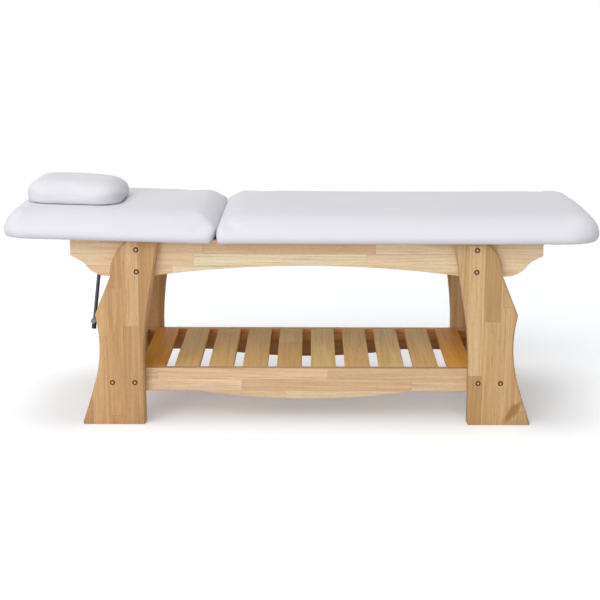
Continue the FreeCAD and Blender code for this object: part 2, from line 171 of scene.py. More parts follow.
class CoverSizes(bpy.types.PropertyGroup):
    """Sizes and colour of the padded pieces."""
    colour: colour_property(
        "Cover colour", "Colour of the upholstery", (0.765, 0.76, 0.808))
    pebble: length_property(
        "Pebble size", "Width of one pebble of the cover's embossed grain", 0.0012, 0.0003, 0.005)
    side_run: length_property(
        "Side edge run", "Width of the rounded upper edges along the sides", 0.094, 0.02, 0.12)
    side_drop: length_property(
        "Side edge drop", "Height of the rounded upper edges along the sides", 0.056, 0.01, 0.06)
    end_run: length_property(
        "End edge run", "Width of the rounded upper edges at head and foot", 0.050, 0.02, 0.12)
    end_drop: length_property(
        "End edge drop", "Height of the rounded upper edges at head and foot", 0.056, 0.01, 0.06)
    foot_corner: length_property(
        "Foot corner", "Radius in plan of the corners at the foot of the bed", 0.112, 0.02, 0.12)
    head_corner: length_property(
        "Head corner", "Radius in plan of the corners at the head of the bed", 0.076, 0.02, 0.12)
    foot_bow: length_property(
        "Foot bow", "How far the foot of the bed is bowed out in plan", 0.014, 0.0, 0.02)
    head_bow: length_property(
        "Head bow", "How far the head of the bed is bowed out in plan", 0.012, 0.0, 0.02)
    hinge_run: length_property(
        "Hinge edge run", "Width of the rounded upper edges at the hinge", 0.061, 0.02, 0.12)
    hinge_drop: length_property(
        "Hinge edge drop", "Height of the rounded upper edges at the hinge", 0.055, 0.01, 0.06)
    hinge_corner: length_property(
        "Hinge corner", "Radius in plan of the corners at the hinge", 0.018, 0.002, 0.08)
    lower_radius: length_property(
        "Lower edge radius", "Radius of the edge that wraps under the board", 0.006, 0.002, 0.03)
    tuck: length_property(
        "Tuck", "How far the cover is drawn in at the foot of the pads", 0.0015, 0.0, 0.02)
    belly: length_property(
        "Belly", "How far the pads' outer sides stand full at half height", 0.004, 0.0, 0.01)
    hinge_swell: length_property(
        "Hinge end swell", "How far the pads swell towards each other", 0.0087, 0.0, 0.009)
    hinge_offset: length_property(
        "Hinge offset", "How far the pads' seam lies towards the head", 0.004, 0.0, 0.006)
    hinge_press: length_property(
        "Hinge press", "How far each pad's hinge end is pressed flat by the other",
        0.003, 0.0, 0.006)
    hinge_lean: length_property(
        "Hinge end lean", "How far the back pad's end stands back at its foot", 0.018, 0.0, 0.03)
    crown: length_property(
        "Crown", "Rise of the middle over the edges", 0.005, 0.0, 0.02)
    swell: length_property(
        "Swell", "Furthest that the filling pushes the cover out", 0.003, 0.0, 0.02)
    cell: length_property(
        "Cell", "Mesh size of the cover before it is filled", 0.010, 0.005, 0.03)


class MetalSizes(bpy.types.PropertyGroup):
    """Sizes and colours of the metal."""
    bolt_colour: colour_property(
        "Bolt colour", "Colour of the bolt heads", (0.12, 0.058, 0.026))
    rod_colour: colour_property(
        "Rod colour", "Colour of the prop's plated rod", (0.10, 0.10, 0.11))
    staple_step: length_property(
        "Staple step", "Distance between two staples", 0.030, 0.01, 0.1)


class StageSizes(bpy.types.PropertyGroup):
    """Light, floor and camera."""
    sky: light_property(
        "Sky", "Strength of the even light from all round", 0.20, 2.0)
    front: light_property(
        "Front light", "Strength of the soft light from the front", 1.80, 10.0)
    above: light_property(
        "Top light", "Strength of the soft light from above", 0.99, 10.0)
    head_side: light_property(
        "Head side light", "Power of the large lamp above the head of the bed", 16.0, 200.0)
    floor_colour: colour_property(
        "Floor colour", "Colour of the floor", (0.74, 0.73, 0.72))
    floor_seen: colour_property(
        "Floor colour seen", "The floor as the camera sees it", (1.0, 1.0, 1.0), 1.2)
    floor_glow: light_property(
        "Floor glow", "What the camera sees the floor add to its own colour", 0.26, 1.0)


# Materials: sockets that take part in plain sums

class Wire:
    """A socket of a material, so that shader maths reads as plain sums."""

    def __init__(self, finish, socket):
        self.finish = finish
        self.socket = socket

    def maths(self, operation, *others):
        return self.finish.maths(operation, self, *others)

    def __add__(self, other):
        return self.finish.maths("ADD", self, other)

    def __sub__(self, other):
        return self.finish.maths("SUBTRACT", self, other)

    def __mul__(self, other):
        return self.finish.maths("MULTIPLY", self, other)

    def __truediv__(self, other):
        return self.finish.maths("DIVIDE", self, other)

    def __rsub__(self, other):
        return self.finish.maths("SUBTRACT", other, self)

    def __rtruediv__(self, other):
        return self.finish.maths("DIVIDE", other, self)

    __radd__ = __add__
    __rmul__ = __mul__


class Finish:
    """The nodes of one material, or of the world."""

    def __init__(self, name, world=False):
        self.owner = (bpy.data.worlds if world else bpy.data.materials).new(name)
        self.owner.use_nodes = True
        self.tree = self.owner.node_tree
        self.tree.nodes.clear()

    def node(self, kind, settings=None, sockets=None, output=0):
        made = self.tree.nodes.new(kind)
        for name, value in (settings or {}).items():
            if name == "stops":
                ramp = made.color_ramp
                while len(ramp.elements) < len(value):
                    ramp.elements.new(1.0)
                for element, (place, colour) in zip(ramp.elements, value):
                    element.position = place
                    element.color = (*colour, 1.0)
            else:
                setattr(made, name, value)
        for key, value in (sockets or {}).items():
            if isinstance(value, Wire):
                self.tree.links.new(value.socket, made.inputs[key])
            else:
                made.inputs[key].default_value = value
        return Wire(self, made.outputs[output])

    def maths(self, operation, *values):
        return self.node("ShaderNodeMath", {"operation": operation}, dict(enumerate(values)))

    def place(self):
        """The three coordinates of the piece itself, in metres."""
        return self.split(self.node("ShaderNodeTexCoord", output="Object"))

    def split(self, vector):
        parted = self.node("ShaderNodeSeparateXYZ", None, {0: vector}).socket.node
        return [Wire(self, socket) for socket in parted.outputs]

    def join(self, x, y, z):
        return self.node("ShaderNodeCombineXYZ", None, {0: x, 1: y, 2: z})

    def vectors(self, operation, *values):
        return self.node("ShaderNodeVectorMath", {"operation": operation}, dict(enumerate(values)))

    def noise(self, vector, scale, detail=2.0, roughness=0.5, distortion=0.0):
        return self.node("ShaderNodeTexNoise", {"noise_dimensions": "3D"}, {
            "Vector": vector, "Scale": scale, "Detail": detail, "Roughness": roughness,
            "Distortion": distortion})

    def chance(self, vector):
        return self.node("ShaderNodeTexWhiteNoise", {"noise_dimensions": "3D"},
                         {"Vector": vector}, "Color")

    def ramp(self, value, low, high, start=0.0, end=1.0):
        """Start below low, end above high, eased between."""
        return self.node("ShaderNodeMapRange", {"interpolation_type": "SMOOTHSTEP"},
                         {0: value, 1: low, 2: high, 3: start, 4: end})

    def mix(self, share, first, second, blend_type="MIX"):
        first, second = ((*c, 1.0) if isinstance(c, tuple) else c for c in (first, second))
        return self.node("ShaderNodeMix", {"data_type": "RGBA", "blend_type": blend_type},
                         {0: share, 6: first, 7: second}, 2)

    def tones(self, value, stops):
        return self.node("ShaderNodeValToRGB", {"stops": stops}, {0: value})

    def bump(self, height, strength, distance):
        return self.node("ShaderNodeBump", None,
                         {"Height": height, "Strength": strength, "Distance": distance})

    def seen(self):
        """One where the camera looks, itself or by a mirror or through glass, and else nought."""
        rays = self.node("ShaderNodeLightPath").socket.node.outputs
        camera, glossy, clear = (Wire(self, rays[f"Is {kind} Ray"])
                                 for kind in ("Camera", "Glossy", "Transmission"))
        return camera.maths("MAXIMUM", glossy).maths("MAXIMUM", clear)

    def principled(self, **sockets):
        named = {name.replace("_", " "): value for name, value in sockets.items()}
        for name, value in named.items():
            if isinstance(value, tuple):
                named[name] = (*value, 1.0)
        return self.end(self.node("ShaderNodeBsdfPrincipled", None, named))

    def end(self, surface, kind="Material"):
        out = self.tree.nodes.new("ShaderNodeOutput" + kind)
        self.tree.links.new(surface.socket, out.inputs["Surface"])
        return self.owner


def toned(colour, *factors):
    """A colour with its channels scaled, kept below white."""
    factors = factors * 3 if len(factors) == 1 else factors
    return tuple(min(c * f, 0.95) for c, f in zip(colour, factors))


def timber(name, grain, across, tone, width, length, start=0.0, shine=0.28, painted_light=None,
           figure=1.0, knot=None):
    """Edge-glued rubberwood: staves across the plank, each with its own tone, streaks and pores.
    The inner-face tint is painted shade that darkens the faces towards the middle of the bed,
    figure says how strongly the grain shows, and knot is the middle of a branch's slanting trace on
    the front leg."""
    finish = Finish(name)
    axes = dict(zip("XYZ", finish.place()))
    run = axes[grain]
    cross = axes[across]
    depth = axes[({"X", "Y", "Z"} - {grain, across}).pop()]
    plank = finish.maths("FLOOR", depth * 7.0)
    strip = (cross - start) / width
    row = strip.maths("FLOOR")
    shift = finish.split(finish.chance(finish.join(row, plank, 5.0)))[0]
    course = run / length + shift * 9.0
    block = course.maths("FLOOR")
    stave = finish.chance(finish.join(row, block, plank))
    first, second, third = finish.split(stave)
    side_gap = (strip.maths("FRACT") - 0.5).maths("ABSOLUTE")
    end_gap = (course.maths("FRACT") - 0.5).maths("ABSOLUTE")
    side_line = finish.ramp(side_gap, 0.5 - 0.0007 / width, 0.5 - 0.0001 / width)
    end_line = finish.ramp(end_gap, 0.5 - 0.0008 / length, 0.5 - 0.0001 / length)
    glue = side_line.maths("MAXIMUM", end_line * 0.8)

    tilt = (second - 0.5) * 0.05 * run
    shifted = finish.vectors("ADD", finish.join(cross + tilt, depth, run),
                             finish.vectors("MULTIPLY", stave, (3.0, 3.0, 3.0)))

    def grained(across_scale, along_scale, detail, roughness, distortion=0.0):
        stretched = finish.vectors("MULTIPLY", shifted, (across_scale, across_scale, along_scale))
        return finish.noise(stretched, 1.0, detail, roughness, distortion)

    broad = grained(34.0, 1.3, 3.0, 0.5, 0.6)
    streak = grained(190.0, 4.5, 4.0, 0.62)
    hair = grained(900.0, 16.0, 2.0, 0.5)
    pore = finish.ramp(grained(1500.0, 45.0, 1.0, 0.5), 0.60, 0.70)
    ring = finish.maths("SINE", (cross * 260.0 + broad * 26.0 + third * 6.0)) * 0.5 + 0.5
    colour = finish.tones(first, [
        (0.00, toned(tone, 0.74, 0.64, 0.52)),
        (0.22, toned(tone, 0.93, 0.88, 0.80)),
        (0.50, toned(tone, 1.02)),
        (0.76, toned(tone, 1.11, 1.10, 1.08)),
        (1.00, toned(tone, 1.19, 1.24, 1.30)),
    ])
    layers = [
        (finish.ramp(second, 0.45, 1.0, 0.0, 0.6), (1.08, 0.93, 0.86)),
        (finish.ramp(broad, 0.46, 0.72, 0.0, 0.60 * figure), (0.80, 0.68, 0.54)),
        (finish.ramp(streak, 0.44, 0.75, 0.0, 0.62 * figure), (0.68, 0.56, 0.42)),
        (finish.ramp(streak, 0.46, 0.22, 0.0, 0.50 * figure), (1.18, 1.20, 1.22)),
        (ring * (0.20 * figure), (0.74, 0.62, 0.46)),
        (finish.ramp(hair, 0.5, 0.8, 0.0, 0.22), (0.62, 0.50, 0.38)),
        (pore * 0.42, (0.42, 0.30, 0.20)),
        (glue * 0.55, (0.45, 0.32, 0.20)),
    ]
    if knot:
        aside, up = cross - knot[0], run - knot[1]
        along = (aside * 0.61 + up * 0.79) / 0.050
        apart = (aside * 0.79 - up * 0.61 + (broad - 0.5) * 0.02) / 0.015
        far = (along * along + apart * apart).maths("SQRT") + (streak - 0.5) * 0.9
        trace = finish.ramp(far, 0.50, 1.20, 0.92, 0.0) * finish.ramp(depth, 0.01, 0.0)
        layers.append((trace, (0.60, 0.40, 0.24)))
    for share, factors in layers:
        colour = finish.mix(share, colour, toned(tone, *factors))
    # painted shade: faces towards the middle of the bed are darkened by a multiplied tint that
    # stands for the shade between the rails
    if painted_light:
        inside = finish.ramp(axes["Y"].maths("ABSOLUTE"),
                             RAIL_INNER_FACE + 0.0008, RAIL_INNER_FACE + 0.0004)
        colour = finish.mix(inside, colour, finish.mix(1.0, colour, painted_light, "MULTIPLY"))
    height = hair * 0.25 - pore * 0.8 - glue * 0.7 + streak * 0.2
    return finish.principled(
        Base_Color=colour,
        Roughness=finish.ramp(streak, 0.3, 0.7, 0.42, 0.53) + pore * 0.12,
        Normal=finish.bump(height, 0.35, 0.0003),
        Specular_IOR_Level=shine)


def upholstery(name, colour, pebble):
    """Matt white leatherette: a fine embossed pebble, with painted shade darkening its creases."""
    finish = Finish(name)
    spot = finish.node("ShaderNodeTexCoord", output="Object")
    warp = finish.noise(spot, 0.35 / pebble, 2.0)
    bent = finish.vectors("ADD", spot, finish.vectors("MULTIPLY", warp, (0.4 * pebble,) * 3))
    cells = finish.node("ShaderNodeTexVoronoi", {"feature": "DISTANCE_TO_EDGE"},
                        {"Vector": bent, "Scale": 1.0 / pebble})
    crease = finish.ramp(cells, 0.02, 0.22, 1.0, 0.0)
    fine = finish.noise(spot, 3.0 / pebble, 3.0)
    cloud = finish.noise(spot, 5.0, 3.0, 0.5)
    cloudy = finish.ramp(cloud, 0.35, 0.7, 0.0, 0.5)
    shade = finish.mix(cloudy, colour, toned(colour, 0.975, 0.973, 0.98))
    # painted shade: the pebble's creases are darkened
    shade = finish.mix(crease * 0.22, shade, toned(colour, 0.80, 0.80, 0.82))
    return finish.principled(
        Base_Color=shade,
        Roughness=finish.ramp(cloud, 0.3, 0.7, 0.44, 0.52) + crease * 0.1,
        Normal=finish.bump(fine * 0.15 - crease, 0.30, 0.0002),
        Specular_IOR_Level=0.38, Sheen_Weight=0.06)


def panel_ply(name):
    """The boards' plywood underside: rotary-cut face veneer with wide soft figure."""
    finish = Finish(name)
    x, y, z = finish.place()
    wide = finish.noise(finish.join(x * 1.2, y * 9.0, z), 1.0, 3.0, 0.55, 1.4)
    fine = finish.noise(finish.join(x * 22.0, y * 700.0, z * 700.0), 1.0, 3.0)
    tone = (0.62, 0.44, 0.26)
    ring = finish.maths("SINE", wide * 46.0) * 0.5 + 0.5
    shade = finish.mix(ring * 0.35, tone, toned(tone, 0.78, 0.70, 0.58))
    fibre = finish.ramp(fine, 0.45, 0.75, 0.0, 0.4)
    shade = finish.mix(fibre, shade, toned(tone, 0.70, 0.60, 0.46))
    return finish.principled(Base_Color=shade, Roughness=finish.ramp(fine, 0.3, 0.7, 0.55, 0.68),
                             Normal=finish.bump(fine, 0.25, 0.0003), Specular_IOR_Level=0.3)


def metal(name, colour, roughness, recess=None):
    """Plated or painted metal with a faint brushed and handled surface, and a painted reflection
    that makes a recess brighter.
    """
    finish = Finish(name)
    x, y, z = finish.place()
    brushed = finish.noise(finish.join(x * 900.0, y * 90.0, z * 900.0), 1.0, 2.0)
    smudge = finish.noise(finish.join(x, y, z), 60.0, 3.0)
    shade = finish.mix(finish.ramp(smudge, 0.4, 0.7, 0.0, 0.5), colour, toned(colour, 0.78))
    if recess:
        # painted reflection: the marked recess takes a lighter colour that stands for the light it
        # reflects
        painted_light = finish.node("ShaderNodeAttribute", {"attribute_name": "recess"}, None, "Fac")
        shade = finish.mix(painted_light, shade, recess)
    return finish.principled(
        Base_Color=shade, Metallic=1.0,
        Roughness=finish.ramp(brushed, 0.3, 0.7, roughness - 0.06, roughness + 0.12),
        Normal=finish.bump(brushed, 0.08, 0.0001))


def moulded(name, colour, roughness, speck=1500.0):
    """Moulded plastic or rubber with a fine spark-eroded skin."""
    finish = Finish(name)
    spot = finish.node("ShaderNodeTexCoord", output="Object")
    skin = finish.noise(spot, speck, 2.0)
    cloud = finish.noise(spot, 40.0, 2.0)
    return finish.principled(
        Base_Color=finish.mix(finish.ramp(cloud, 0.35, 0.7), colour, toned(colour, 1.3)),
        Roughness=finish.ramp(skin, 0.3, 0.7, roughness - 0.06, roughness + 0.08),
        Normal=finish.bump(skin, 0.2, 0.0001), Specular_IOR_Level=0.4)


# Meshes

def shaded(piece, sharp_angle=None):
    """The piece shaded smooth, but for edges sharper than so many degrees."""
    for face in piece.data.polygons:
        face.use_smooth = True
    if sharp_angle:
        piece.data.set_sharp_from_angle(angle=math.radians(sharp_angle))
    return piece


def new_object(name, data):
    made = bpy.data.objects.new(name, data)
    bpy.context.scene.collection.objects.link(made)
    return made


def new_piece(name, mesh, material, sharp_angle=None):
    piece = new_object(name, mesh)
    mesh.materials.clear()
    mesh.materials.append(material)
    return shaded(piece, sharp_angle) if sharp_angle else piece


def mesh_from(name, points, faces):
    mesh = bpy.data.meshes.new(name)
    mesh.from_pydata([tuple(p) for p in points], [], faces)
    mesh.validate()
    return mesh


def mesh_of(name, form):
    """A mesh with the form that was built, which is given back."""
    mesh = bpy.data.meshes.new(name)
    form.to_mesh(mesh)
    form.free()
    return mesh


def points_of(mesh):
    return np.array([v.co for v in mesh.vertices])


def move_points(piece, points):
    piece.data.vertices.foreach_set("co", points.astype(np.float32).ravel())
    piece.data.update()


def settled(piece):
    """The piece with its modifiers worked into its mesh."""
    graph = bpy.context.evaluated_depsgraph_get()
    mesh = bpy.data.meshes.new_from_object(piece.evaluated_get(graph), depsgraph=graph)
    piece.modifiers.clear()
    piece.data = mesh
    return piece


def refined(piece):
    """The piece with each face parted in four and its form rounded."""
    finer = piece.modifiers.new("Round", "SUBSURF")
    finer.levels = finer.render_levels = 1
    return settled(piece)


def join_rings(form, first, second):
    """Faces between two closed rows of as many points."""
    for i in range(len(first)):
        j = (i + 1) % len(first)
        form.faces.new((first[i], first[j], second[j], second[i]))


def tilted(points, slope):
    """Points turned about the axis across the bed."""
    return points @ np.array(Matrix.Rotation(slope, 3, "Y")).T


def eased_copy(node, radius, material, segments=3):
    """A CAD node's form with its sharp edges sanded round, standing in for the node."""
    mesh = frame["nodes"][node].data.copy()
    form = bmesh.new()
    form.from_mesh(mesh)
    bmesh.ops.remove_doubles(form, verts=form.verts, dist=2e-6)
    bmesh.ops.dissolve_limit(
        form, angle_limit=math.radians(0.5), verts=form.verts, edges=form.edges)
    form.normal_update()
    sharp = [e for e in form.edges
             if len(e.link_faces) == 2 and e.calc_face_angle(0.0) > math.radians(32)]
    bmesh.ops.bevel(form, geom=sharp, offset=radius, segments=segments, profile=0.5,
                    affect="EDGES", clamp_overlap=True)
    bmesh.ops.triangulate(form, faces=[f for f in form.faces if len(f.verts) > 4])
    form.to_mesh(mesh)
    form.free()
    piece = new_piece(node + "_piece", mesh, material, 35.0)
    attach(piece, frame["nodes"][node]["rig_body"])
    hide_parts(node)
    return piece


def dress(node, material):
    """A CAD node that stays gets its finish."""
    part = frame["nodes"][node]
    part.data.materials.clear()
    part.data.materials.append(material)


def nodes_named(*starts):
    return [n for n in sorted(frame["nodes"]) if n.startswith(starts)]


# Padded forms

def box_skin(cells):
    """Grid points and quads over the six sides of a box of so many cells."""
    points, quads, known = [], [], {}

    def corner(key):
        if key not in known:
            known[key] = len(points)
            points.append(key)
        return known[key]

    for axis in range(3):
        u, v = (axis + 1) % 3, (axis + 2) % 3
        for end in (0, cells[axis]):
            for a in range(cells[u]):
                for b in range(cells[v]):
                    ring = []
                    for step_a, step_b in ((0, 0), (1, 0), (1, 1), (0, 1)):
                        key = [0, 0, 0]
                        key[axis], key[u], key[v] = end, a + step_a, b + step_b
                        ring.append(corner(tuple(key)))
                    quads.append(ring if end else ring[::-1])
    return np.array(points, float), quads


def turned_in(first, second, power=ROUND_POWER):
    """Two distances into a square edge zone, drawn onto a curve of so high a power."""
    reach = (first ** power + second ** power) ** (1 / power)
    share = np.where(reach > 1e-9, np.maximum(first, second) / np.maximum(reach, 1e-9), 1.0)
    return first * share, second * share


def rounded(inward, below, run, drop, power):
    """How far points move outwards and up, to lie on an edge of a run, a drop and a power."""
    out = np.maximum(run - inward, 0) / run
    rise = np.maximum(drop - below, 0) / drop
    new_out, new_rise = turned_in(out, rise, power)
    return (new_out - out) * run, (new_rise - rise) * drop


def outline_reach(x, y, length, half, corner):
    """How far points lie inside an outline with rounded far corners, and the way out of it."""
    deep_x = np.maximum(x - (length - corner), 0)
    deep_y = np.maximum(y - (half - corner), 0)
    reach = np.maximum(np.hypot(deep_x, deep_y), 1e-9)
    in_corner = (deep_x > 0) & (deep_y > 0)
    nearer_side = half - y < length - x
    inward = np.where(in_corner, corner - reach, np.minimum(half - y, length - x))
    out_x = np.where(in_corner, deep_x / reach, np.where(nearer_side, 0.0, 1.0))
    out_y = np.where(in_corner, deep_y / reach, np.where(nearer_side, 1.0, 0.0))
    return inward, out_x, out_y


def padded_form(grid, size, corner, end_edge, side_edge, lower, crown, tuck, near=None):
    """Padded form over a box grid: x from its near end, y across, z up from its sole. Its corners
    are round in plan, its upper edges have a run, a drop and a power, its top is crowned and its
    foot tucked in. Near gives the corner and edge of a near end that differs from the far one."""
    length, half, high = size[0], size[1] / 2, size[2]
    x = grid[:, 0] * length
    y = (grid[:, 1] * 2 - 1) * half
    z = grid[:, 2] * high
    side = np.sign(y)
    y = np.abs(y)
    end = np.ones_like(x)
    if not near:
        end = np.sign(x - length / 2)
        x, length = np.abs(x - length / 2), length / 2
    deep_x = np.maximum(x - (length - corner), 0)
    deep_y = np.maximum(y - (half - corner), 0)
    new_x, new_y = turned_in(deep_x, deep_y)
    x, y = x + new_x - deep_x, y + new_y - deep_y
    if near:
        near_corner, near_edge = near
        deep_x = np.maximum(near_corner - x, 0)
        deep_y = np.maximum(y - (half - near_corner), 0)
        new_x, new_y = turned_in(deep_x, deep_y)
        x, y = x - (new_x - deep_x), y + new_y - deep_y
        turn = np.clip(y - (half - near_corner), 0, near_corner)
        near_start = near_corner - np.sqrt(near_corner ** 2 - turn ** 2)
    foot = (lower, lower, ROUND_POWER)
    inward, out_x, out_y = outline_reach(x, y, length, half, corner)
    blended = [e * out_x ** 2 + s * out_y ** 2 for e, s in zip(end_edge, side_edge)]
    for upper in (True, False):
        below = (high - z) if upper else z
        outward, rise = rounded(inward, below, *(blended if upper else foot))
        x, y, z = x + out_x * outward, y + out_y * outward, z + (rise if upper else -rise)
        inward = inward - outward
        if near:
            below = (high - z) if upper else z
            outward, rise = rounded(np.maximum(x - near_start, 0), below,
                                    *(near_edge if upper else foot))
            x, z = x - outward, z + (rise if upper else -rise)
    tucked = np.clip(1 - z / 0.03, 0, 1) ** 2 * np.clip(1 - inward / 0.05, 0, 1) * tuck
    x, y = x - out_x * tucked, y - out_y * tucked
    z = z - crown * (z / high) * (y / half) ** 2
    if not near:
        z = z - crown * (z / high) * (x / length) ** 2
        x = x * end
    return np.stack([x, y * side, z], axis=1)


def relaxed(points, faces, keep):
    """Points drawn towards the mean of their neighbours, except where keep says not."""
    pairs = np.array([(f[i], f[(i + 1) % len(f)]) for f in faces for i in range(len(f))])
    size = len(points)
    count = np.bincount(pairs[:, 0], minlength=size).astype(float)
    for _ in range(3):
        mean = np.stack([np.bincount(pairs[:, 0], points[pairs[:, 1], axis], minlength=size)
                         for axis in range(3)], axis=1) / count[:, None]
        points = points + (mean - points) * (1 - keep)[:, None] * 0.5
    return points


def filled(piece, cap, held, frames=20):
    """The cover blown up from inside by cloth simulation, each point moving at most cap."""
    rest = points_of(piece.data)
    group = piece.vertex_groups.new(name="held")
    for index in np.nonzero(held > 0.001)[0]:
        group.add([int(index)], float(held[index]), "REPLACE")
    cloth = piece.modifiers.new("Fill", "CLOTH")
    cloth.settings.vertex_group_mass = group.name
    cloth.settings.use_pressure = True
    cloth.settings.uniform_pressure_force = 4.0
    cloth.settings.effector_weights.gravity = 0.0
    cloth.settings.quality = 4
    cloth.settings.tension_stiffness = 40.0
    cloth.settings.compression_stiffness = 40.0
    cloth.settings.bending_stiffness = 2.0
    cloth.collision_settings.use_collision = False
    cloth.point_cache.frame_start = 1
    cloth.point_cache.frame_end = frames
    scene = bpy.context.scene
    for number in range(1, frames + 1):
        scene.frame_set(number)
    evaluated = piece.evaluated_get(bpy.context.evaluated_depsgraph_get())
    step = points_of(evaluated.to_mesh()) - rest
    evaluated.to_mesh_clear()
    piece.modifiers.clear()
    piece.vertex_groups.clear()
    scene.frame_set(1)
    size = np.linalg.norm(step, axis=1, keepdims=True)
    soft = cap * (1 - np.exp(-size / cap))
    step = step * np.where(size > 1e-9, soft / np.maximum(size, 1e-9), 0.0)
    move_points(piece, rest + step)


def full_sides(points, length, corner, belly):
    """The outer sides made to stand full from their foot to above half height."""
    height = np.clip(points[:, 2] / PAD_HEIGHT, 0.0, 1.0)
    inward, out_x, out_y = outline_reach(
        points[:, 0], np.abs(points[:, 1]), length, HALF_WIDTH, corner)
    away = np.clip(points[:, 0] / 0.06, 0.0, 1.0)
    full = np.sin(np.pi / 2 * np.clip(height / 0.12, 0, 1))
    full = full * (1 - np.clip((height - 0.25) / 0.65, 0, 1) ** 2)
    full = full * np.clip(1 - inward / 0.03, 0.0, 1.0) * belly
    points[:, 0] += out_x * full * away
    points[:, 1] += out_y * full * away * np.sign(points[:, 1])


def met_at_hinge(points, way, lean, cover):
    """The hinge end swollen until it touches the other section's, clear of the knuckles, pressed
    flat there, and leaning back at its foot."""
    height = np.clip(points[:, 2] / PAD_HEIGHT, 0.0, 1.0)
    aside = np.abs(points[:, 1])
    near_end = np.clip(1 - points[:, 0] / 0.10, 0.0, 1.0)
    beside_knuckles = np.clip((aside - 0.245) / 0.02, 0.0, 1.0)
    above_knuckles = np.clip((height - 0.29) / 0.03, 0.0, 1.0)
    upright = above_knuckles + (1 - above_knuckles) * beside_knuckles
    band = (height > 0.33) & (height < 0.42)
    rows = np.linspace(-0.33, 0.33, 23)
    foremost = [points[band & (np.abs(points[:, 1] - row) < 0.02), 0].min() for row in rows]
    reach = cover.hinge_swell + way * cover.hinge_offset
    swollen = reach + cover.hinge_press + np.interp(points[:, 1], rows, foremost)
    points[:, 0] -= near_end * upright * swollen
    lean_top = 0.36 + 0.28 * np.clip((aside - 0.28) / 0.05, 0.0, 1.0)
    points[:, 0] += near_end * np.clip(1 - height / lean_top, 0.0, 1.0) * lean * upright
    points[:, 0] = np.maximum(points[:, 0], -reach)


def dented(points, centre):
    """The shallow dent in which the loose pillow lies."""
    half_length, half_width, depth = DENT_SIZE
    away = np.hypot(np.maximum(np.abs(points[:, 0] - centre) - half_length, 0),
                    np.maximum(np.abs(points[:, 1]) - half_width, 0))
    share = np.clip(1.2 - away / 0.05, 0.0, 1.0)
    upper = points[:, 2] / PAD_HEIGHT > 0.6
    points[:, 2] -= depth * share * share * (3 - 2 * share) * upper


def folded_under(points, length):
    """The underside set back inside the folded border, clear of the board."""
    inside = np.minimum.reduce(
        [points[:, 0], length - points[:, 0], HALF_WIDTH - np.abs(points[:, 1])])
    sole = points[:, 2] < 0.004
    points[sole, 2] = -0.0010
    points[sole & (inside > 0.046), 2] = 0.006


def padded_section(name, section, material, corner, bow, lean, pillow_middle=None):
    """One upholstered section: a shaped cover, filled and rounded, around its board, and with a
    dent where a pillow lies on it."""
    start, way, length, slope = section
    cover = bpy.context.scene.bed_cover
    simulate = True
    shrink = cover.swell * 0.3 if simulate else 0.0
    size = (length - shrink, 2 * (HALF_WIDTH - shrink), PAD_HEIGHT - shrink)
    cells = [max(4, round(s / cover.cell)) for s in size]
    grid, quads = box_skin(cells)
    points = padded_form(
        grid / np.array(cells, float), size, corner,
        (cover.end_run, cover.end_drop, ROUND_POWER), (cover.side_run, cover.side_drop, SIDE_POWER),
        cover.lower_radius, cover.crown, cover.tuck,
        (cover.hinge_corner, (cover.hinge_run, cover.hinge_drop, HINGE_POWER)))
    bowed = np.clip((points[:, 0] - length + 0.2) / 0.2, 0, 1)
    points[:, 0] += bow * bowed * (1 - (points[:, 1] / HALF_WIDTH) ** 2)
    level = points[:, 2]
    points = relaxed(points, quads, np.clip(1 - (level - 0.006) / 0.02, 0.15, 1.0))
    if way < 0:
        quads = [q[::-1] for q in quads]
    mesh = mesh_from(name, points * np.array([way, 1.0, 1.0]), quads)
    piece = new_piece(name, mesh, material)
    if simulate:
        filled(piece, cover.swell, np.clip(1 - (level - 0.012) / 0.012, 0.0, 1.0))
    refined(piece)
    points = points_of(piece.data)
    points[:, 0] *= way
    full_sides(points, length, corner, cover.belly)
    met_at_hinge(points, way, lean, cover)
    if pillow_middle is not None:
        dented(points, way * (pillow_middle - start))
    folded_under(points, length)
    points[:, 0] *= way
    points += np.array([start, 0.0, SOLE_HEIGHT])
    centre = np.array(HINGE)
    move_points(piece, tilted(points - centre, slope) + centre)
    return shaded(piece)


def section_board(name, section, material, steps=6):
    """The board inside a cover: its underside shows inside the folded border."""
    start, way, length, slope = section
    x0, x1 = sorted((start + way * BOARD_INSET, start + way * (length - BOARD_INSET)))
    half = HALF_WIDTH - BOARD_INSET
    outline = []
    for x, y, turn in ((x1, half, 0), (x0, half, 1), (x0, -half, 2), (x1, -half, 3)):
        bend = BOARD_CORNER if (x == x1) == (way > 0) else 0.004
        centre = (x - math.copysign(bend, x - (x0 + x1) / 2), y - math.copysign(bend, y))
        for step in range(steps + 1):
            angle = math.radians(90 * (turn + step / steps))
            outline.append((centre[0] + bend * math.cos(angle), centre[1] + bend * math.sin(angle)))
    form = bmesh.new()
    low, high = ([form.verts.new((x, y, z)) for x, y in outline]
                 for z in (SOLE_HEIGHT, SOLE_HEIGHT + BOARD_THICKNESS))
    form.faces.new(low[::-1])
    form.faces.new(high)
    join_rings(form, low, high)
    bmesh.ops.rotate(form, verts=form.verts, cent=HINGE, matrix=Matrix.Rotation(slope, 3, "Y"))
    return new_piece(name, mesh_of(name, form), material, 35.0)


# Repeats made with Geometry Nodes

